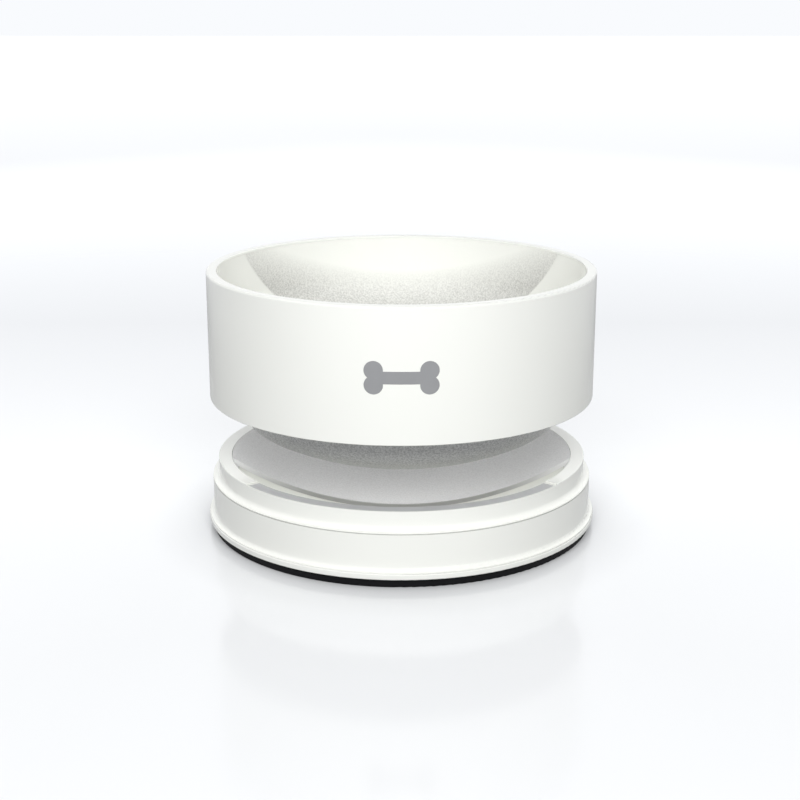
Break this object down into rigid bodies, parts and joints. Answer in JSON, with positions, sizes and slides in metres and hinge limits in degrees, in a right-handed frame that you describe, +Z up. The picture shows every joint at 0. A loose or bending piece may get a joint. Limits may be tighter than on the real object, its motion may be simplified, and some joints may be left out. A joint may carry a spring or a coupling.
{
  "type": "pet food bowl",
  "caption": "Round pet food bowl with a bulging underside, held lifted off a low weighted base that has a hollow seat of the same curve, a front pocket and a rubber foot.",
  "frame": {"origin": "centre of the foot ring's underside, on the ground", "axes": "+Z up; the front, with the inlaid figure, the pocket and the soft pad, faces -Y; +X is to the right as seen from the front"},
  "size_m": [0.1534, 0.1534, 0.102],
  "materials": {
    "gloss_white": "polished moulded ABS",
    "grained_white": "fine grained moulded ABS",
    "soft_grey": "smooth soft elastomer",
    "foot_black": "satin rubber",
    "seal_clear": "translucent silicone, modelled opaque",
    "inlay_grey": "satin moulded plastic",
    "steel": "zinc plated steel"
  },
  "bodies": {
    "base": {"base_shell": "gloss_white", "tilt_pad": "soft_grey", "seat": "grained_white", "seat_screws": "steel", "base_plate": "gloss_white", "ballast_disc": "steel", "base_screws": "steel", "foot_ring": "foot_black"},
    "bowl": {"bowl_shell": "gloss_white", "front_inlay": "inlay_grey", "dish_seal": "seal_clear", "dish": "grained_white", "bottom_cover": "grained_white", "cover_screws": "steel"}
  },
  "joints": [
    {"name": "lift", "type": "slide", "parent": "base", "child": "bowl", "axis": [0, 0, 1], "range_m": [-0.0174, 0.06]}
  ]
}
